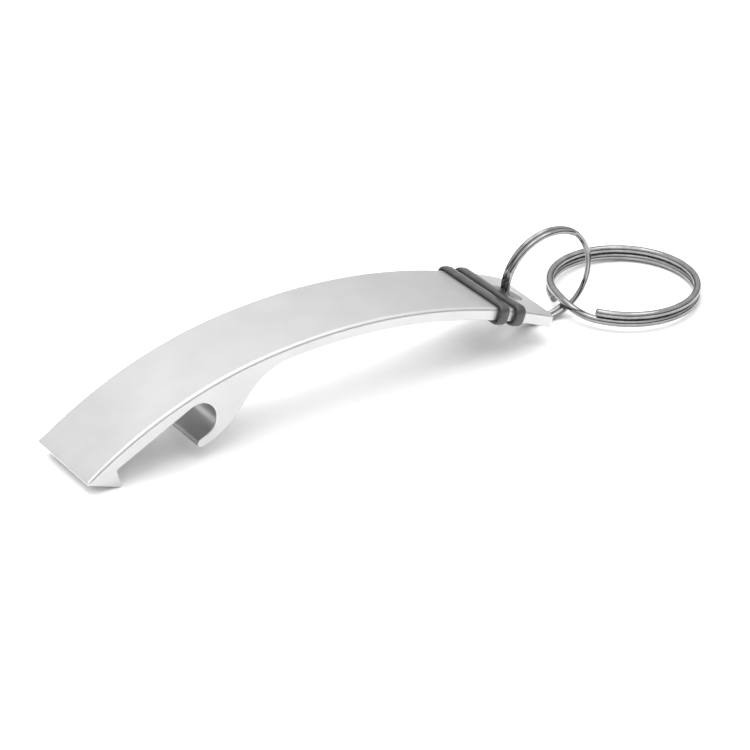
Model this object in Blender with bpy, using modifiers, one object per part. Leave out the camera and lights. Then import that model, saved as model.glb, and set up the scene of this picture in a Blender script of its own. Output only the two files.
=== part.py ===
"""Keychain bottle opener: a curved aluminium bar with a bottle mouth, two rubber bands and two split rings.

The bar is a slice of a bent extrusion: its side profile, drawn here with arcs and their tangent lines, is the
same all the way across. It lies as it does on a table: the heel of the nose touches the table, and the tail
rests on the small split ring, which stands up through the tail hole. Sizes are in millimetres until MM.
X runs from nose to tail, Y across the bar and Z up, and the table is Z = 0.
"""

import math

import bmesh
import bpy
from mathutils import Matrix, Vector

MM = 0.001
NAME = "keychain_bottle_opener"

# The row's origin, under the middle of the whole object.
ORIGIN = (56.43, -0.85)

# Bar
BAR_WIDTH = 15.0
BAR_THICKNESS = 2.05
MAIN_CENTRE = (41.46, -77.73)
MAIN_RADIUS = 92.49
NOSE_RADIUS = 68.25
NOSE_ARC_FROM = 97.5
TAIL_END_AT = 63.6
EDGE_ROUNDING = 0.2

# Bottle mouth: the hook at the heel, and the claw that closes the slot
SOLE_SLOPE = 20.6
NOSE_TIP_RADIUS = 0.3
HEEL_CENTRE = (4.8, 0.35)
HEEL_RADIUS = 0.35
HOOK_LEAN = 15.5
HOOK_CORNER_RADIUS = 0.25
ROOF_SLOPE = 26.3
SLOT_CENTRE = (18.55, 6.72)
SLOT_RADIUS = 2.95
LIP_SLOPE = 22.4
LIP_TIP_RADIUS = 0.7
CLAW_CENTRE = (16.29, 13.39)
CLAW_RADIUS = 11.5
FILLET_RADIUS = 10.0
FILLET_FROM = 94.4

# Tail: the ring hole, and the corners rounded in plan
HOLE_AT = 66.1
HOLE_RADIUS = 2.65
TAIL_CORNER_RADIUS = 1.2

# Rubber bands, at these angles along the main arc, each a little askew
BAND_WIDTH = 1.85
BAND_THICKNESS = 0.72
BAND_GAP = 0.07
BAND_ROUNDING = 0.24
BAND_INNER_CORNER = 0.25
BAND_OUTER_CORNER = 1.5
FRONT_BAND_AT = 70.2
REAR_BAND_AT = 68.2
FRONT_BAND_SKEW = 3.0
REAR_BAND_SKEW = 3.3

# Split rings: each is two turns of wire side by side, with one slanting step between the turns. SPREAD is
# half the distance between the turns' centre lines, START is where the first turn's cut end is, and STEP is
# the angle the step takes.
SMALL_CENTRE = (85.76, -1.22, 8.43)
SMALL_YAW = -0.2
SMALL_LEAN = 4.1
SMALL_RADIUS = 7.94
SMALL_WIRE = 0.45
SMALL_SPREAD = 0.47
SMALL_START = 56.0
SMALL_STEP = 114.0
LARGE_CENTRE = (101.06, -0.85, 1.83)
LARGE_PITCH = 2.28
LARGE_ROLL = -0.83
LARGE_RADIUS = 11.77
LARGE_WIRE = 0.63
LARGE_SPREAD = 0.655
LARGE_START = 212.5
LARGE_STEP = 45.8

# Where each ring hinges: the small one on its own wire inside the hole, the large one on the small one's wire
SMALL_HINGE = (78.205, -1.02, 6.01)
LARGE_HINGE = (89.896, -1.219, 1.636)


def polar(centre, radius, degrees):
    """The point of a circle at an angle, measured from +X towards +Z."""
    angle = math.radians(degrees)
    return (centre[0] + radius * math.cos(angle), centre[1] + radius * math.sin(angle))


def angle_of(centre, point):
    return math.degrees(math.atan2(point[1] - centre[1], point[0] - centre[0]))


def lines_meet(first, first_angle, second, second_angle):
    """Where two lines cross, each given by a point and its angle."""
    a = polar((0, 0), 1, first_angle)
    b = polar((0, 0), 1, second_angle)
    gap = (second[0] - first[0], second[1] - first[1])
    along = (gap[0] * b[1] - gap[1] * b[0]) / (a[0] * b[1] - a[1] * b[0])
    return (first[0] + along * a[0], first[1] + along * a[1])


def line_leaves_circle(centre, radius, point, angle):
    """Where a line that starts inside a circle crosses it."""
    way = polar((0, 0), 1, angle)
    off = (point[0] - centre[0], point[1] - centre[1])
    half = off[0] * way[0] + off[1] * way[1]
    along = -half + math.sqrt(half * half - off[0] ** 2 - off[1] ** 2 + radius * radius)
    return (point[0] + along * way[0], point[1] + along * way[1])


def arc(centre, radius, start, end, steps):
    """Points along an arc, both ends included."""
    return [polar(centre, radius, start + (end - start) * i / steps) for i in range(steps + 1)]


NOSE_CENTRE = polar(MAIN_CENTRE, MAIN_RADIUS - NOSE_RADIUS, NOSE_ARC_FROM)
FILLET_CENTRE = polar(MAIN_CENTRE, MAIN_RADIUS - BAR_THICKNESS - FILLET_RADIUS, FILLET_FROM)


def bar_profile():
    """The side profile as one closed loop: over the top from nose to tail, then back along the underside.

    Each arc ends where the next arc, or the tangent line to it, begins.
    """
    sole_faces = -90 - SOLE_SLOPE
    roof_faces = 90 + ROOF_SLOPE
    under_radius = MAIN_RADIUS - BAR_THICKNESS

    # The blunt nose fits between the top arc and the sole, a tangent line of the heel.
    sole_point = polar(HEEL_CENTRE, HEEL_RADIUS - NOSE_TIP_RADIUS, sole_faces)
    tip = line_leaves_circle(NOSE_CENTRE, NOSE_RADIUS - NOSE_TIP_RADIUS, sole_point, 180 - SOLE_SLOPE)
    # The claw's rounded tip fits between the claw's outer arc and the lip, a tangent line of the slot.
    lip_point = polar(SLOT_CENTRE, SLOT_RADIUS + LIP_TIP_RADIUS, LIP_SLOPE - 90)
    lip = line_leaves_circle(CLAW_CENTRE, CLAW_RADIUS - LIP_TIP_RADIUS, lip_point, 180 + LIP_SLOPE)
    # The hook's inner corner fits between the mouth's roof and the hook's face.
    roof_point = polar(SLOT_CENTRE, SLOT_RADIUS - HOOK_CORNER_RADIUS, roof_faces)
    face_point = polar(HEEL_CENTRE, HEEL_RADIUS + HOOK_CORNER_RADIUS, HOOK_LEAN)
    corner = lines_meet(roof_point, ROOF_SLOPE, face_point, 90 + HOOK_LEAN)
    # A line that touches the fillet on one side and the claw on the other joins them.
    apart = math.dist(FILLET_CENTRE, CLAW_CENTRE)
    swing = math.degrees(math.acos((FILLET_RADIUS + CLAW_RADIUS) / apart))
    join = angle_of(FILLET_CENTRE, CLAW_CENTRE) - swing

    tip_joins_top = angle_of(NOSE_CENTRE, tip)
    claw_to_lip = angle_of(CLAW_CENTRE, lip)
    tail_centre = polar(MAIN_CENTRE, MAIN_RADIUS - BAR_THICKNESS / 2, TAIL_END_AT)
    loop = []
    loop += arc(tip, NOSE_TIP_RADIUS, sole_faces + 360, tip_joins_top, 5)
    loop += arc(NOSE_CENTRE, NOSE_RADIUS, tip_joins_top, NOSE_ARC_FROM, 16)[1:]
    loop += arc(MAIN_CENTRE, MAIN_RADIUS, NOSE_ARC_FROM, TAIL_END_AT, 24)[1:]
    loop += arc(tail_centre, BAR_THICKNESS / 2, TAIL_END_AT, TAIL_END_AT - 180, 8)[1:]
    loop += arc(MAIN_CENTRE, under_radius, TAIL_END_AT, FILLET_FROM, 20)[1:]
    loop += arc(FILLET_CENTRE, FILLET_RADIUS, FILLET_FROM, join, 8)[1:]
    loop += arc(CLAW_CENTRE, CLAW_RADIUS, join + 180, claw_to_lip + 360, 8)
    loop += arc(lip, LIP_TIP_RADIUS, claw_to_lip + 360, 90 + LIP_SLOPE, 7)[1:]
    loop += arc(SLOT_CENTRE, SLOT_RADIUS, LIP_SLOPE - 90, roof_faces, 14)
    loop += arc(corner, HOOK_CORNER_RADIUS, roof_faces, 180 + HOOK_LEAN, 3)
    loop += arc(HEEL_CENTRE, HEEL_RADIUS, HOOK_LEAN, sole_faces, 6)
    return loop


def material(name, colour, roughness, metallic):
    made = bpy.data.materials.new(name)
    made.use_nodes = True
    shader = made.node_tree.nodes["Principled BSDF"]
    shader.inputs["Base Color"].default_value = (*colour, 1.0)
    shader.inputs["Roughness"].default_value = roughness
    shader.inputs["Metallic"].default_value = metallic
    return made


def poly_curve(name, outlines, cyclic):
    """A curve with one spline for each list of points in millimetres."""
    curve = bpy.data.curves.new(name, "CURVE")
    curve.dimensions = "3D"
    for points in outlines:
        spline = curve.splines.new("POLY")
        spline.points.add(len(points) - 1)
        for vertex, point in zip(spline.points, points):
            vertex.co = (*(Vector(point) * MM), 1.0)
        spline.use_cyclic_u = cyclic
    return curve


def flat_plate(name, outlines, half_thickness, collection):
    """A closed mesh of flat outlines, the first one round any others, drawn in X-Y and thick along Z."""
    curve = poly_curve(name, [[(x, y, 0.0) for x, y in outline] for outline in outlines], True)
    curve.dimensions = "2D"
    curve.fill_mode = "BOTH"
    curve.extrude = half_thickness * MM
    drawn = bpy.data.objects.new(name + "_outline", curve)
    collection.objects.link(drawn)
    bpy.context.view_layer.update()
    mesh = bpy.data.meshes.new_from_object(drawn.evaluated_get(bpy.context.evaluated_depsgraph_get()))
    bpy.data.objects.remove(drawn)
    shape = bmesh.new()
    shape.from_mesh(mesh)
    bmesh.ops.remove_doubles(shape, verts=shape.verts, dist=1e-6)
    bmesh.ops.dissolve_limit(shape, angle_limit=math.radians(0.2), verts=shape.verts, edges=shape.edges)
    bmesh.ops.recalc_face_normals(shape, faces=shape.faces)
    shape.to_mesh(mesh)
    shape.free()
    made = bpy.data.objects.new(name, mesh)
    collection.objects.link(made)
    return made


def ease_edges(target, width, segments, angle):
    bevel = target.modifiers.new("eased_edges", "BEVEL")
    bevel.width = width * MM
    bevel.segments = segments
    bevel.limit_method = "ANGLE"
    bevel.angle_limit = math.radians(angle)


def cut(target, cutter):
    """Cuts one object away from another, and shows the cutter as a wire guide."""
    cutter.hide_render = True
    cutter.display_type = "WIRE"
    boolean = target.modifiers.new(cutter.name, "BOOLEAN")
    boolean.operation = "DIFFERENCE"
    boolean.solver = "EXACT"
    boolean.object = cutter


def tail_corner_cutter(side, collection):
    """The waste outside one rounded tail corner, seen from above."""
    tail = polar(MAIN_CENTRE, MAIN_RADIUS - BAR_THICKNESS / 2, TAIL_END_AT)
    tail_x = tail[0] + BAR_THICKNESS / 2
    centre = (tail_x - TAIL_CORNER_RADIUS, side * (BAR_WIDTH / 2 - TAIL_CORNER_RADIUS))
    outside = side * (BAR_WIDTH / 2 + 1)
    outline = arc(centre, TAIL_CORNER_RADIUS, side * 90, 0, 6)
    outline += [(tail_x + 1, centre[1]), (tail_x + 1, outside), (centre[0], outside)]
    made = flat_plate("tail_corner_cutter_" + ("far" if side > 0 else "near"), [outline], 5.0, collection)
    made.location = (-ORIGIN[0] * MM, -ORIGIN[1] * MM, tail[1] * MM)
    return made


def make_bar(parts, cutters):
    bar = flat_plate("opener_bar", [bar_profile()], BAR_WIDTH / 2, parts)
    bar.data.transform(Matrix.Rotation(math.radians(90), 4, "X"))
    bar.location = (-ORIGIN[0] * MM, -ORIGIN[1] * MM, 0.0)
    for side in (1, -1):
        cut(bar, tail_corner_cutter(side, cutters))
    hole = polar(MAIN_CENTRE, MAIN_RADIUS, HOLE_AT)
    drill = flat_plate("tail_hole_cutter", [arc((0, 0), HOLE_RADIUS, 0, 352.5, 47)], 6.0, cutters)
    drill.location = ((hole[0] - ORIGIN[0]) * MM, -ORIGIN[1] * MM, hole[1] * MM)
    drill.rotation_euler = (0.0, math.radians(90 - HOLE_AT), 0.0)
    cut(bar, drill)
    ease_edges(bar, EDGE_ROUNDING, 2, 50)
    bar.data.materials.append(material("satin_aluminium", (0.80, 0.81, 0.82), 0.38, 1.0))
    return bar


def rounded_rectangle(half_width, half_height, corner):
    """Outline points of a rectangle with rounded corners, centred on the origin."""
    points = []
    for across, up, start in ((1, 1, 0), (-1, 1, 90), (-1, -1, 180), (1, -1, 270)):
        centre = (across * (half_width - corner), up * (half_height - corner))
        points += arc(centre, corner, start, start + 90, 6)
    return points


def make_band(name, at, skew, parts):
    """A flat rubber band pulled round the bar, with its origin on the axis of the bar's arc.

    It is drawn as a closed frame round the bar's cross-section, is BAND_WIDTH wide along the bar, and is then
    turned to its place on the arc. The rubber is thinner where it is pulled over the bar's edges.
    """
    askew = math.radians(skew)
    half_width = (BAR_WIDTH + BAND_WIDTH * math.sin(askew)) / 2 / math.cos(askew) + BAND_GAP
    half_height = BAR_THICKNESS / 2 + BAND_GAP
    inner = rounded_rectangle(half_width, half_height, BAND_INNER_CORNER)
    outer = rounded_rectangle(half_width + BAND_THICKNESS, half_height + BAND_THICKNESS, BAND_OUTER_CORNER)
    band = flat_plate(name, [outer, inner], BAND_WIDTH / 2, parts)
    place = Matrix.Rotation(math.radians(90 - at), 4, "Y") @ Matrix.Rotation(math.radians(skew), 4, "Z")
    radius = MAIN_RADIUS - BAR_THICKNESS / 2
    turn = place @ Matrix.Rotation(math.radians(90), 4, "Z") @ Matrix.Rotation(math.radians(90), 4, "X")
    arm = Matrix.Rotation(math.radians(90 - at), 4, "Y") @ Vector((0.0, 0.0, radius * MM))
    band.data.transform(Matrix.Translation(arm) @ turn)
    axis = Vector(((MAIN_CENTRE[0] - ORIGIN[0]) * MM, -ORIGIN[1] * MM, MAIN_CENTRE[1] * MM))
    band.matrix_world = Matrix.Translation(axis)
    ease_edges(band, BAND_ROUNDING, 2, 50)
    band.data.materials.append(material(name + "_rubber", (0.045, 0.045, 0.048), 0.55, 0.0))
    return band


def ring_points(radius, spread, start, step, per_turn):
    """Two turns of wire round +Z: one turn at +spread, a smooth step down, then the second turn at -spread."""
    total = 720.0 - step
    count = round(per_turn * total / 360)
    points = []
    for i in range(count + 1):
        travelled = total * i / count
        climb = min(max((travelled - 360 + step) / step, 0.0), 1.0)
        height = spread * (1 - 2 * climb * climb * (3 - 2 * climb))
        points.append((*polar((0, 0), radius, start + travelled), height))
    return points


def make_hinge(name, at, parts, held_by):
    hinge = bpy.data.objects.new(name, None)
    hinge.empty_display_size = 2 * MM
    parts.objects.link(hinge)
    offset = held_by if held_by else (*ORIGIN, 0.0)
    hinge.location = [(here - there) * MM for here, there in zip(at, offset)]
    return hinge


def make_ring(name, points, wire, parts, centre, turn, hinge, hinge_at):
    curve = poly_curve(name, [points], False)
    curve.bevel_depth = wire * MM
    curve.bevel_resolution = 2
    curve.use_fill_caps = True
    ring = bpy.data.objects.new(name, curve)
    parts.objects.link(ring)
    ring.parent = hinge
    ring.location = [(here - there) * MM for here, there in zip(centre, hinge_at)]
    ring.rotation_euler = [math.radians(angle) for angle in turn]
    ring.data.materials.append(material(name + "_steel", (0.62, 0.62, 0.62), 0.18, 1.0))
    return ring


def main():
    for old in list(bpy.data.objects):
        bpy.data.objects.remove(old)
    parts = bpy.data.collections.new(NAME)
    cutters = bpy.data.collections.new("cutters")
    bpy.context.scene.collection.children.link(parts)
    bpy.context.scene.collection.children.link(cutters)

    make_bar(parts, cutters)
    make_band("front_rubber_band", FRONT_BAND_AT, FRONT_BAND_SKEW, parts)
    make_band("rear_rubber_band", REAR_BAND_AT, REAR_BAND_SKEW, parts)
    small_hinge = make_hinge("small_ring_hinge", SMALL_HINGE, parts, None)
    large_hinge = make_hinge("large_ring_hinge", LARGE_HINGE, parts, SMALL_HINGE)
    large_hinge.parent = small_hinge
    small = ring_points(SMALL_RADIUS, SMALL_SPREAD, SMALL_START, SMALL_STEP, 48)
    turn = (90 + SMALL_LEAN, 0.0, SMALL_YAW)
    make_ring("small_split_ring", small, SMALL_WIRE, parts, SMALL_CENTRE, turn, small_hinge, SMALL_HINGE)
    large = ring_points(LARGE_RADIUS, LARGE_SPREAD, LARGE_START, LARGE_STEP, 56)
    turn = (LARGE_ROLL, LARGE_PITCH, 0.0)
    make_ring("large_split_ring", large, LARGE_WIRE, parts, LARGE_CENTRE, turn, large_hinge, LARGE_HINGE)


main()
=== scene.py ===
"""Looks of the keychain bottle opener: fine meshes, materials, floor, light and camera.

Sizes are in millimetres, in the frame the part is drawn in, until place() turns them into metres. X runs from
nose to tail, Y across the bar, and the table is at Z = 0. The bar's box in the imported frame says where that
frame lies.
"""

import math

import bmesh
import bpy
from mathutils import Matrix, Vector


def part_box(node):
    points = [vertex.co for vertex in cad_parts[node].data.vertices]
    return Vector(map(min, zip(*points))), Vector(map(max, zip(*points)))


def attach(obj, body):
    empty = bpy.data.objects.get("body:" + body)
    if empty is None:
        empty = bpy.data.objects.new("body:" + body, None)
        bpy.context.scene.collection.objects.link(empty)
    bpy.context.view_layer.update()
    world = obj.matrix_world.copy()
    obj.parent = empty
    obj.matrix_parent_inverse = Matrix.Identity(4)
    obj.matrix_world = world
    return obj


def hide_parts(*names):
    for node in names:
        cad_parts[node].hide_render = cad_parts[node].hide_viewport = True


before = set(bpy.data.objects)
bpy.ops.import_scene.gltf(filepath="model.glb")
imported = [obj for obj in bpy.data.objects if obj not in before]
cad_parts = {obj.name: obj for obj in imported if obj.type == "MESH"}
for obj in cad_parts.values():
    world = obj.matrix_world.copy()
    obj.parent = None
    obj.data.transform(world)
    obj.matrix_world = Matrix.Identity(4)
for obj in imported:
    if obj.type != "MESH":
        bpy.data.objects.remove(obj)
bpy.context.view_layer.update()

MM = 0.001

# The bar's profile, as the part has it
WIDTH = 15.0
THICK = 2.05
MAIN_C = (41.46, -77.73)
MAIN_R = 92.49
NOSE_R = 68.25
NOSE_FROM = 97.5
TAIL_END = 63.6
SOLE = 20.6
TIP_R = 0.3
HEEL_C = (4.8, 0.35)
HEEL_R = 0.35
HOOK_LEAN = 15.5
CORNER_R = 0.25
ROOF = 26.3
SLOT_C = (18.55, 6.72)
SLOT_R = 2.95
LIP = 22.4
LIP_R = 0.7
CLAW_C = (16.29, 13.39)
CLAW_R = 11.5
FILLET_R = 10.0
FILLET_FROM = 94.4
HOLE_AT = 66.1
HOLE_R = 2.65
TAIL_CORNER_R = 1.2

# Roundings that only the looks need: the top's long edges are softer than the rest
TOP_EDGE = 0.62
OTHER_EDGE = 0.24
SHARP_FROM = 40
# Width of the edge strip painted brighter: partly rubbed wear, partly a painted highlight
RUB_AND_HIGHLIGHT_STRIP = 0.3
# How far round the slot its shade is painted darker
SLOT_SHADE_REACH = 1.2

BAND_WIDTH = 1.85
BAND_THICK = 0.72
BAND_GAP = 0.07
BAND_INNER_CORNER = 0.25
BAND_OUTER_CORNER = 1.5

# Each split ring: its centre and turn, the wire's circle and radius, half the coils' distance, and in degrees
# where the wire starts and how long its step from one coil to the other is
SMALL = dict(
    centre=(85.76, -1.22, 8.43),
    turn=(94.1, 0.0, -0.2),
    radius=7.94,
    wire=0.45,
    spread=0.47,
    start=56.0,
    step=114.0,
)
LARGE = dict(
    centre=(101.06, -0.85, 1.83),
    turn=(-0.83, 2.28, 0.0),
    radius=11.77,
    wire=0.63,
    spread=0.655,
    start=212.5,
    step=45.8,
)

# Of each band: node, body, place along the bar's arc, skew. Of each ring: node, body, shape, stations a turn
BANDS = (
    ("front_rubber_band", "front_band", 70.2, 3.0),
    ("rear_rubber_band", "rear_band", 68.2, 3.3),
)
RINGS = (
    ("small_split_ring", "small_ring", SMALL, 120),
    ("large_split_ring", "large_ring", LARGE, 150),
)

# The camera, in the drawing's frame, and its lens on a 36 mm sensor
CAMERA_AT = (-243.47, -455.84, 315.52)
CAMERA_AIM = (54.168, -0.382, 0.0)
LENS = 196.12


def polar(c, r, deg):
    a = math.radians(deg)
    return (c[0] + r * math.cos(a), c[1] + r * math.sin(a))


def angle_of(c, p):
    return math.degrees(math.atan2(p[1] - c[1], p[0] - c[0]))


def arc(c, r, a, b, n):
    return [polar(c, r, a + (b - a) * i / n) for i in range(n + 1)]


def lines_meet(p, pa, q, qa):
    a, b = polar((0, 0), 1, pa), polar((0, 0), 1, qa)
    g = (q[0] - p[0], q[1] - p[1])
    t = (g[0] * b[1] - g[1] * b[0]) / (a[0] * b[1] - a[1] * b[0])
    return (p[0] + t * a[0], p[1] + t * a[1])


def leaves_circle(c, r, p, deg):
    w = polar((0, 0), 1, deg)
    o = (p[0] - c[0], p[1] - c[1])
    h = o[0] * w[0] + o[1] * w[1]
    t = -h + math.sqrt(h * h - o[0] ** 2 - o[1] ** 2 + r * r)
    return (p[0] + t * w[0], p[1] + t * w[1])


def line(p, q, n):
    """Points strictly between two points."""
    return [(p[0] + (q[0] - p[0]) * i / n, p[1] + (q[1] - p[1]) * i / n) for i in range(1, n)]


def bar_profile():
    sole_faces, roof_faces = -90 - SOLE, 90 + ROOF
    nose_c = polar(MAIN_C, MAIN_R - NOSE_R, NOSE_FROM)
    fillet_c = polar(MAIN_C, MAIN_R - THICK - FILLET_R, FILLET_FROM)
    tip = leaves_circle(nose_c, NOSE_R - TIP_R, polar(HEEL_C, HEEL_R - TIP_R, sole_faces), 180 - SOLE)
    lip = leaves_circle(CLAW_C, CLAW_R - LIP_R, polar(SLOT_C, SLOT_R + LIP_R, LIP - 90), 180 + LIP)
    roof_p = polar(SLOT_C, SLOT_R - CORNER_R, roof_faces)
    corner = lines_meet(roof_p, ROOF, polar(HEEL_C, HEEL_R + CORNER_R, HOOK_LEAN), 90 + HOOK_LEAN)
    swing = math.degrees(math.acos((FILLET_R + CLAW_R) / math.dist(fillet_c, CLAW_C)))
    join = angle_of(fillet_c, CLAW_C) - swing
    tip_top, claw_lip = angle_of(nose_c, tip), angle_of(CLAW_C, lip)
    tail_c = polar(MAIN_C, MAIN_R - THICK / 2, TAIL_END)
    pieces = [
        arc(tip, TIP_R, sole_faces + 360, tip_top, 8),
        arc(nose_c, NOSE_R, tip_top, NOSE_FROM, 40)[1:],
        arc(MAIN_C, MAIN_R, NOSE_FROM, TAIL_END, 70)[1:],
        arc(tail_c, THICK / 2, TAIL_END, TAIL_END - 180, 20)[1:],
        arc(MAIN_C, MAIN_R - THICK, TAIL_END, FILLET_FROM, 60)[1:],
        arc(fillet_c, FILLET_R, FILLET_FROM, join, 24)[1:],
        arc(CLAW_C, CLAW_R, join + 180, claw_lip + 360, 24),
        arc(lip, LIP_R, claw_lip + 360, 90 + LIP, 14)[1:],
        arc(SLOT_C, SLOT_R, LIP - 90, roof_faces, 40),
        arc(corner, CORNER_R, roof_faces, 180 + HOOK_LEAN, 6),
        arc(HEEL_C, HEEL_R, HOOK_LEAN, sole_faces, 10),
    ]
    loop = []
    for piece in pieces:
        loop += piece
    return loop


# Where the drawing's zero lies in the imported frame
low, high = [Vector(p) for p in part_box("opener_bar")]
PROFILE = bar_profile()
NOSE_X = min(p[0] for p in PROFILE) * MM
LOWEST_Z = min(p[1] for p in PROFILE) * MM
SHIFT = Vector((low.x - NOSE_X, (low.y + high.y) / 2, low.z - LOWEST_Z))


def place(mesh):
    mesh.transform(Matrix.Translation(SHIFT) @ Matrix.Scale(MM, 4))


def link(name, mesh):
    ob = bpy.data.objects.new(name, mesh)
    bpy.context.scene.collection.objects.link(ob)
    return ob


def applied(ob):
    """The object's mesh with its modifiers applied, put back on the object."""
    bpy.context.view_layer.update()
    mesh = bpy.data.meshes.new_from_object(ob.evaluated_get(bpy.context.evaluated_depsgraph_get()))
    ob.modifiers.clear()
    old, ob.data = ob.data, mesh
    bpy.data.meshes.remove(old)
    return ob


def prism(name, outline, half, axis):
    """A closed prism in millimetres round a flat outline, thick along an axis."""
    bm = bmesh.new()
    sides = []
    for s in (-half, half):
        if axis == "Y":
            sides.append([bm.verts.new((x, s, z)) for x, z in outline])
        else:
            sides.append([bm.verts.new((x, y, s)) for x, y in outline])
    bm.faces.new(sides[0])
    bm.faces.new(sides[1])
    n = len(outline)
    for i in range(n):
        j = (i + 1) % n
        bm.faces.new((sides[0][i], sides[0][j], sides[1][j], sides[1][i]))
    bmesh.ops.recalc_face_normals(bm, faces=bm.faces)
    mesh = bpy.data.meshes.new(name)
    bm.to_mesh(mesh)
    bm.free()
    return link(name, mesh)


def subtract(target, cutter):
    mod = target.modifiers.new("cut", "BOOLEAN")
    mod.operation = "DIFFERENCE"
    mod.solver = "EXACT"
    mod.object = cutter
    applied(target)
    bpy.data.objects.remove(cutter)


def make_bar():
    bar = prism("opener_bar_fine", PROFILE, WIDTH / 2, "Y")
    tail_x = polar(MAIN_C, MAIN_R - THICK / 2, TAIL_END)[0] + THICK / 2
    hole = polar(MAIN_C, MAIN_R, HOLE_AT)
    drill = prism("drill", arc((0, 0), HOLE_R, 0, 355, 71), 6, "Z")
    drill.location = (hole[0], 0, hole[1])
    drill.rotation_euler = (0, math.radians(90 - HOLE_AT), 0)
    subtract(bar, drill)

    # Bevel weights: soft on the top's long edges, finer elsewhere
    bm = bmesh.new()
    bm.from_mesh(bar.data)
    bmesh.ops.remove_doubles(bm, verts=bm.verts, dist=0.002)
    weight = bm.edges.layers.float.new("bevel_weight_edge")
    nose_c = polar(MAIN_C, MAIN_R - NOSE_R, NOSE_FROM)
    for e in bm.edges:
        if len(e.link_faces) != 2 or e.calc_face_angle(0) < math.radians(SHARP_FROM):
            continue
        m = (e.verts[0].co + e.verts[1].co) / 2
        main = abs(math.dist((m.x, m.z), MAIN_C) - MAIN_R) < 0.1 and m.x > 29 and m.x < 82.1
        nose = abs(math.dist((m.x, m.z), nose_c) - NOSE_R) < 0.1 and m.x <= 29.5 and m.x > 0.2
        on_side = abs(abs(m.y) - WIDTH / 2) < 0.01
        e[weight] = 1.0 if on_side and (main or nose) else OTHER_EDGE / TOP_EDGE
    bm.to_mesh(bar.data)
    bm.free()
    bevel = bar.modifiers.new("round", "BEVEL")
    bevel.width = TOP_EDGE
    bevel.segments = 4
    bevel.limit_method = "WEIGHT"
    bevel.use_clamp_overlap = False
    bevel.harden_normals = False
    applied(bar)

    # The tail's corners are rounded in plan: its sections narrow towards the end
    bm = bmesh.new()
    bm.from_mesh(bar.data)
    for back in (1.2, 0.95, 0.72, 0.52, 0.35, 0.2, 0.1, 0.03):
        every = bm.verts[:] + bm.edges[:] + bm.faces[:]
        bmesh.ops.bisect_plane(bm, geom=every, plane_co=(tail_x - back, 0, 0), plane_no=(1, 0, 0))
    for v in bm.verts:
        inwards = v.co.x - (tail_x - TAIL_CORNER_R)
        if inwards > 0:
            cut = TAIL_CORNER_R - math.sqrt(max(TAIL_CORNER_R ** 2 - inwards ** 2, 0))
            v.co.y *= 1 - cut / (WIDTH / 2)
    bm.to_mesh(bar.data)
    bm.free()

    # For the material: which vertices lie on the rounded edges, where the finish is rubbed and a highlight is
    # painted brighter
    me = bar.data
    rub_and_highlight = me.attributes.new("rubbed_edge_and_highlight", "FLOAT", "POINT")
    for v in me.vertices:
        from_side = WIDTH / 2 - abs(v.co.y)
        rub_and_highlight.data[v.index].value = 1.0 if 0.004 < abs(from_side) and from_side < RUB_AND_HIGHLIGHT_STRIP else 0.0

    # And which lie inside the mouth's slot, where shade is painted darker into the colour
    slot_shade_mask = me.attributes.new("painted_slot_shade", "FLOAT", "POINT")
    for v in me.vertices:
        r = math.dist((v.co.x, v.co.z), SLOT_C)
        inside = abs(v.co.y) < WIDTH / 2 - 0.1 and r < SLOT_R + SLOT_SHADE_REACH
        slot_shade_mask.data[v.index].value = 1.0 if inside else 0.0
    for poly in me.polygons:
        poly.use_smooth = True
    place(me)
    bar.modifiers.new("normals", "WEIGHTED_NORMAL").keep_sharp = True
    applied(bar)
    return bar


def sweep(name, rings, closed):
    """A tube mesh through rings of points; each ring has the same number of points."""
    bm = bmesh.new()
    loops = [[bm.verts.new(p) for p in ring] for ring in rings]
    n = len(loops[0])
    last = len(loops) if closed else len(loops) - 1
    for i in range(last):
        a, b = loops[i], loops[(i + 1) % len(loops)]
        for k in range(n):
            bm.faces.new((a[k], a[(k + 1) % n], b[(k + 1) % n], b[k]))
    if not closed:
        bm.faces.new(loops[0])
        bm.faces.new(loops[-1])
    bmesh.ops.recalc_face_normals(bm, faces=bm.faces)
    for f in bm.faces:
        f.smooth = True
    mesh = bpy.data.meshes.new(name)
    bm.to_mesh(mesh)
    bm.free()
    return mesh


def rounded_rect(hw, hh, r, steps, flats):
    """Matching stations round a rounded rectangle, so that two of them pair up point by point."""
    pts = []
    corners = ((1, 1, 0), (-1, 1, 90), (-1, -1, 180), (1, -1, 270))
    arcs = []
    for sx, sy, a in corners:
        c = (sx * (hw - r), sy * (hh - r))
        arcs.append(arc(c, r, a, a + 90, steps))
    for i, points in enumerate(arcs):
        pts += points
        nxt = arcs[(i + 1) % 4][0]
        pts += line(points[-1], nxt, flats if i % 2 == 0 else 4)
    return pts


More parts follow.
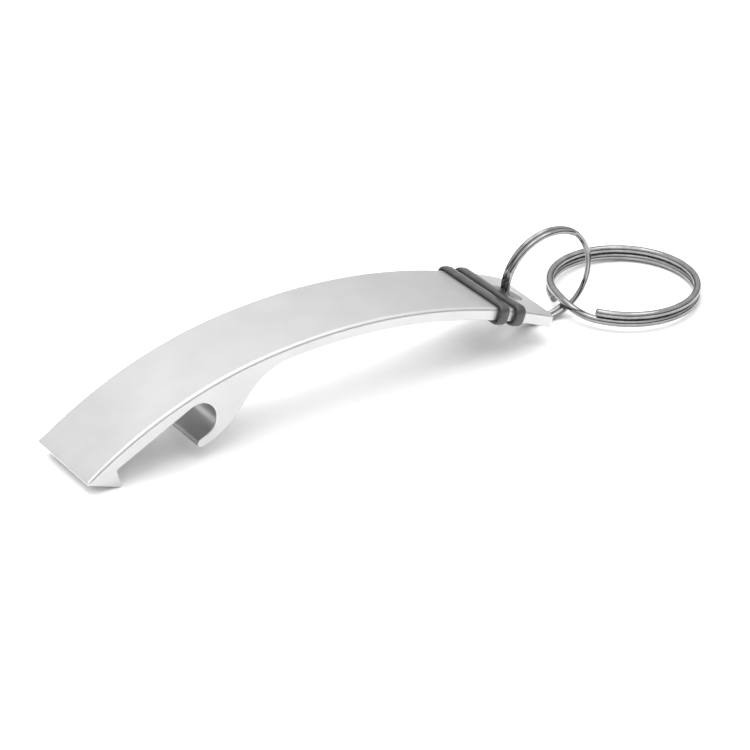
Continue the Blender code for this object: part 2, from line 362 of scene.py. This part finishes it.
def make_band(name, at, skew):
    """A rubber band pulled round the bar: a rounded flat section, thinner over the bar's edges."""
    rad = math.radians(skew)
    hw = (WIDTH + BAND_WIDTH * math.sin(rad)) / 2 / math.cos(rad) + BAND_GAP
    hh = THICK / 2 + BAND_GAP
    inner = rounded_rect(hw, hh, BAND_INNER_CORNER, 10, 24)
    outer = rounded_rect(hw + BAND_THICK, hh + BAND_THICK, BAND_OUTER_CORNER, 10, 24)
    place_m = Matrix.Rotation(math.radians(90 - at), 4, "Y") @ Matrix.Rotation(rad, 4, "Z")
    arm = Matrix.Rotation(math.radians(90 - at), 4, "Y") @ Vector((0.0, 0.0, MAIN_R - THICK / 2))
    origin = Vector((MAIN_C[0], 0.0, MAIN_C[1])) + arm
    rings = []
    for (iy, iz), (oy, oz) in zip(inner, outer):
        mid_y, mid_z = (iy + oy) / 2, (iz + oz) / 2
        half_y, half_z = (oy - iy) / 2, (oz - iz) / 2
        ring = []
        for k in range(20):
            a = 2 * math.pi * k / 20
            c, s = math.cos(a), math.sin(a)
            # a rounded-box section: the corners are fuller than an ellipse's
            u = math.copysign(abs(c) ** 0.72, c)
            w = math.copysign(abs(s) ** 0.72, s)
            p = Vector((w * BAND_WIDTH / 2, mid_y + u * half_y, mid_z + u * half_z))
            ring.append(origin + place_m @ p)
        rings.append(ring)
    mesh = sweep(name, rings, True)
    place(mesh)
    return link(name, mesh)


def make_ring(name, spec, per_turn, around):
    """A split ring: two turns of round wire with bevelled cut ends."""
    total = 720.0 - spec["step"]
    count = round(per_turn * total / 360)
    turn = Matrix.Translation(spec["centre"])
    rx, ry, rz = (math.radians(v) for v in spec["turn"])
    turn = turn @ Matrix.Rotation(rz, 4, "Z") @ Matrix.Rotation(ry, 4, "Y") @ Matrix.Rotation(rx, 4, "X")

    def centre(t):
        climb = min(max((t - 360 + spec["step"]) / spec["step"], 0.0), 1.0)
        h = spec["spread"] * (1 - 2 * climb * climb * (3 - 2 * climb))
        x, y = polar((0, 0), spec["radius"], spec["start"] + t)
        return Vector((x, y, h))

    stations = [(total * i / count, 1.0) for i in range(count + 1)]
    # the cut ends are eased over a fifth of the wire's radius
    ease = math.degrees(0.2 * spec["wire"] / spec["radius"])
    stations = [(0.0, 0.80), (ease * 0.4, 0.93), (ease, 1.0)] + stations[1:-1]
    stations += [(total - ease, 1.0), (total - ease * 0.4, 0.93), (total, 0.80)]
    rings = []
    for t, scale in stations:
        c = centre(t)
        ahead, behind = centre(min(t + 0.5, total)), centre(max(t - 0.5, 0))
        along = (ahead - behind).normalized()
        out = Vector((*polar((0, 0), 1, spec["start"] + t), 0.0))
        out = (out - along * out.dot(along)).normalized()
        up = along.cross(out)
        ring = []
        for k in range(around):
            a = 2 * math.pi * k / around
            ring.append(turn @ (c + (out * math.cos(a) + up * math.sin(a)) * spec["wire"] * scale))
        rings.append(ring)
    mesh = sweep(name, rings, False)
    place(mesh)
    ob = link(name, mesh)
    for f in mesh.polygons:
        if len(f.vertices) > 4:
            f.use_smooth = False
    return ob


# ---------------------------------------------------------------- materials


def new_material(name):
    mat = bpy.data.materials.new(name)
    mat.use_nodes = True
    return mat, mat.node_tree.nodes, mat.node_tree.links, mat.node_tree.nodes["Principled BSDF"]


def noise(nodes, links, coords, scale, detail=3.0, rough=0.55, stretch=None):
    tex = nodes.new("ShaderNodeTexNoise")
    tex.inputs["Scale"].default_value = scale
    tex.inputs["Detail"].default_value = detail
    tex.inputs["Roughness"].default_value = rough
    source = coords.outputs["Object"]
    if stretch:
        mapping = nodes.new("ShaderNodeMapping")
        mapping.inputs["Scale"].default_value = stretch
        links.new(source, mapping.inputs["Vector"])
        source = mapping.outputs["Vector"]
    links.new(source, tex.inputs["Vector"])
    return tex


def ramp(nodes, links, source, low, high, a=0.3, b=0.7):
    node = nodes.new("ShaderNodeMapRange")
    node.inputs["From Min"].default_value = a
    node.inputs["From Max"].default_value = b
    node.inputs["To Min"].default_value = low
    node.inputs["To Max"].default_value = high
    links.new(source, node.inputs["Value"])
    return node.outputs["Result"]


def colour_mix(nodes, links, factor, one, two):
    node = nodes.new("ShaderNodeMix")
    node.data_type = "RGBA"
    node.inputs["A"].default_value = (*one, 1)
    node.inputs["B"].default_value = (*two, 1)
    links.new(factor, node.inputs["Factor"])
    return node.outputs["Result"]


def bump(nodes, links, height, strength, distance, normal=None):
    node = nodes.new("ShaderNodeBump")
    node.inputs["Strength"].default_value = strength
    node.inputs["Distance"].default_value = distance
    links.new(height, node.inputs["Height"])
    if normal:
        links.new(normal, node.inputs["Normal"])
    return node.outputs["Normal"]


def aluminium():
    """Fine blasted aluminium: even grain, faint lines across the bar, edges brighter from rubbing and a
    painted highlight, and shade painted darker into the slot.
    """
    mat, nodes, links, shader = new_material("satin_aluminium")
    coords = nodes.new("ShaderNodeTexCoord")
    grain = noise(nodes, links, coords, 5200, 2.0, 0.6)
    cloud = noise(nodes, links, coords, 130, 3.0)
    drawn = noise(nodes, links, coords, 900, 2.0, 0.5, (1.0, 0.02, 1.0))
    rub_and_highlight = nodes.new("ShaderNodeAttribute")
    rub_and_highlight.attribute_name = "rubbed_edge_and_highlight"
    patches = ramp(nodes, links, cloud.outputs["Fac"], 0, 1)
    tint = colour_mix(nodes, links, patches, (0.545, 0.545, 0.55), (0.59, 0.59, 0.59))
    # Rounded edges mixed to a brighter grey: partly rubbed wear, partly a painted highlight
    edge = nodes.new("ShaderNodeMix")
    edge.data_type = "RGBA"
    edge.inputs["B"].default_value = (0.62, 0.62, 0.62, 1)
    links.new(tint, edge.inputs["A"])
    links.new(rub_and_highlight.outputs["Fac"], edge.inputs["Factor"])
    # Slot surfaces mixed to a darker grey: painted shade in the recess
    slot_shade_mask = nodes.new("ShaderNodeAttribute")
    slot_shade_mask.attribute_name = "painted_slot_shade"
    whole = nodes.new("ShaderNodeMix")
    whole.data_type = "RGBA"
    whole.inputs["B"].default_value = (0.36, 0.36, 0.365, 1)
    links.new(edge.outputs["Result"], whole.inputs["A"])
    links.new(slot_shade_mask.outputs["Fac"], whole.inputs["Factor"])
    links.new(whole.outputs["Result"], shader.inputs["Base Color"])
    shader.inputs["Metallic"].default_value = 0.92
    rough = nodes.new("ShaderNodeMath")
    rough.operation = "MULTIPLY_ADD"
    rough.inputs[1].default_value = -0.12
    links.new(rub_and_highlight.outputs["Fac"], rough.inputs[0])
    links.new(ramp(nodes, links, grain.outputs["Fac"], 0.42, 0.52), rough.inputs[2])
    links.new(rough.outputs["Value"], shader.inputs["Roughness"])
    first = bump(nodes, links, grain.outputs["Fac"], 0.10, 0.00002)
    links.new(bump(nodes, links, drawn.outputs["Fac"], 0.06, 0.00002, first), shader.inputs["Normal"])
    return mat


def rubber():
    """Smooth black rubber with a slight sheen and a fine moulded skin."""
    mat, nodes, links, shader = new_material("black_rubber")
    coords = nodes.new("ShaderNodeTexCoord")
    skin = noise(nodes, links, coords, 2600, 4.0, 0.6)
    dust = noise(nodes, links, coords, 700, 4.0, 0.6)
    patches = ramp(nodes, links, dust.outputs["Fac"], 0, 1, 0.35, 0.75)
    tint = colour_mix(nodes, links, patches, (0.030, 0.030, 0.031), (0.060, 0.060, 0.061))
    links.new(tint, shader.inputs["Base Color"])
    links.new(ramp(nodes, links, skin.outputs["Fac"], 0.28, 0.42), shader.inputs["Roughness"])
    shader.inputs["Specular IOR Level"].default_value = 0.6
    links.new(bump(nodes, links, skin.outputs["Fac"], 0.12, 0.00003), shader.inputs["Normal"])
    return mat


def plated_steel():
    """Nickel-plated spring wire: bright, with fine drawing lines and small rubs."""
    mat, nodes, links, shader = new_material("plated_steel")
    coords = nodes.new("ShaderNodeTexCoord")
    fine = noise(nodes, links, coords, 2400, 3.0, 0.6)
    rubs = noise(nodes, links, coords, 420, 5.0, 0.65)
    patches = ramp(nodes, links, rubs.outputs["Fac"], 0, 1, 0.4, 0.7)
    tint = colour_mix(nodes, links, patches, (0.24, 0.24, 0.245), (0.33, 0.33, 0.33))
    links.new(tint, shader.inputs["Base Color"])
    shader.inputs["Metallic"].default_value = 1.0
    links.new(ramp(nodes, links, rubs.outputs["Fac"], 0.06, 0.13, 0.35, 0.75), shader.inputs["Roughness"])
    links.new(bump(nodes, links, fine.outputs["Fac"], 0.03, 0.00002), shader.inputs["Normal"])
    return mat


def floor_material():
    mat, _, _, shader = new_material("pale_floor")
    shader.inputs["Base Color"].default_value = (0.90, 0.90, 0.90, 1)
    shader.inputs["Roughness"].default_value = 0.9
    shader.inputs["Specular IOR Level"].default_value = 0.1
    return mat


# ---------------------------------------------------------------- pieces

ALUMINIUM, RUBBER, STEEL = aluminium(), rubber(), plated_steel()

bar = make_bar()
bar.data.materials.clear()
bar.data.materials.append(ALUMINIUM)
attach(bar, "opener")
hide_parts("opener_bar")

for node, body, at, skew in BANDS:
    band = make_band(node + "_fine", at, skew)
    band.data.materials.append(RUBBER)
    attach(band, body)
    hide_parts(node)

for node, body, spec, per_turn in RINGS:
    ring = make_ring(node + "_fine", spec, per_turn, 24)
    ring.data.materials.append(STEEL)
    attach(ring, body)
    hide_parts(node)

# ---------------------------------------------------------------- floor, light and camera

floor = link("floor", bpy.data.meshes.new("floor"))
bm = bmesh.new()
bmesh.ops.create_grid(bm, x_segments=8, y_segments=8, size=3.0)
bm.to_mesh(floor.data)
bm.free()
floor.location.z = -0.00002
floor.data.materials.append(floor_material())


def area_light(name, location, target, size, power):
    data = bpy.data.lights.new(name, "AREA")
    data.shape = "RECTANGLE"
    data.size, data.size_y = size
    data.energy = power
    ob = bpy.data.objects.new(name, data)
    ob.location = location
    ob.rotation_euler = (Vector(target) - Vector(location)).to_track_quat("-Z", "Y").to_euler()
    bpy.context.scene.collection.objects.link(ob)
    return ob


overhead = area_light("overhead", (-0.25, 0.45, 0.90), (0, 0, 0), (1.0, 0.8), 7.6)
overhead.visible_glossy = False
fill = area_light("fill", (0.45, -0.60, 0.55), (0, 0, 0), (0.9, 0.9), 2.1)
fill.visible_glossy = False

world = bpy.data.worlds.new("studio")
bpy.context.scene.world = world
world.use_nodes = True
nodes, links = world.node_tree.nodes, world.node_tree.links
background = nodes["Background"]
background.inputs["Strength"].default_value = 1.0
coords = nodes.new("ShaderNodeTexCoord")
split = nodes.new("ShaderNodeSeparateXYZ")
links.new(coords.outputs["Generated"], split.inputs["Vector"])


def grey_ramp(source, stops):
    node = nodes.new("ShaderNodeValToRGB")
    node.color_ramp.interpolation = "EASE"
    ends = node.color_ramp.elements
    ends[0].position, ends[1].position = stops[0][0], stops[-1][0]
    ends[0].color = (*[stops[0][1]] * 3, 1)
    ends[1].color = (*[stops[-1][1]] * 3, 1)
    for at, value in stops[1:-1]:
        ends.new(at).color = (*[value] * 3, 1)
    links.new(source, node.inputs["Fac"])
    return node.outputs["Color"]


def spread(source):
    """From -1...1 to 0...1."""
    node = nodes.new("ShaderNodeMath")
    node.operation = "MULTIPLY_ADD"
    node.inputs[1].default_value = 0.5
    node.inputs[2].default_value = 0.5
    links.new(source, node.inputs[0])
    return node.outputs["Value"]


# Brighter with height, with one bright band near the top, and dark low down behind the camera
SKY = (
    (0.50, 0.14),
    (0.58, 0.42),
    (0.66, 0.92),
    (0.75, 1.08),
    (0.86, 1.30),
    (0.93, 1.10),
    (0.955, 3.4),
    (0.985, 3.4),
    (1.0, 0.8),
)
height = grey_ramp(spread(split.outputs["Z"]), SKY)
depth = grey_ramp(spread(split.outputs["Y"]), ((0.10, 0.05), (0.30, 0.30), (0.46, 1.0), (0.60, 1.0)))
low_down = grey_ramp(spread(split.outputs["Z"]), ((0.60, 1.0), (0.76, 0.0)))
sky = nodes.new("ShaderNodeMix")
sky.data_type = "RGBA"
sky.blend_type = "MULTIPLY"
links.new(low_down, sky.inputs["Factor"])
links.new(height, sky.inputs["A"])
links.new(depth, sky.inputs["B"])
links.new(sky.outputs["Result"], background.inputs["Color"])

camera_data = bpy.data.cameras.new("camera")
camera_data.sensor_width = 36.0
camera_data.lens = LENS
camera_data.clip_start = 0.01
camera = bpy.data.objects.new("camera", camera_data)
camera.location = SHIFT + Vector(CAMERA_AT) * MM
aim = SHIFT + Vector(CAMERA_AIM) * MM
camera.rotation_euler = (aim - camera.location).to_track_quat("-Z", "Y").to_euler()
bpy.context.scene.collection.objects.link(camera)
bpy.context.scene.camera = camera
bpy.context.scene.view_settings.view_transform = "Standard"
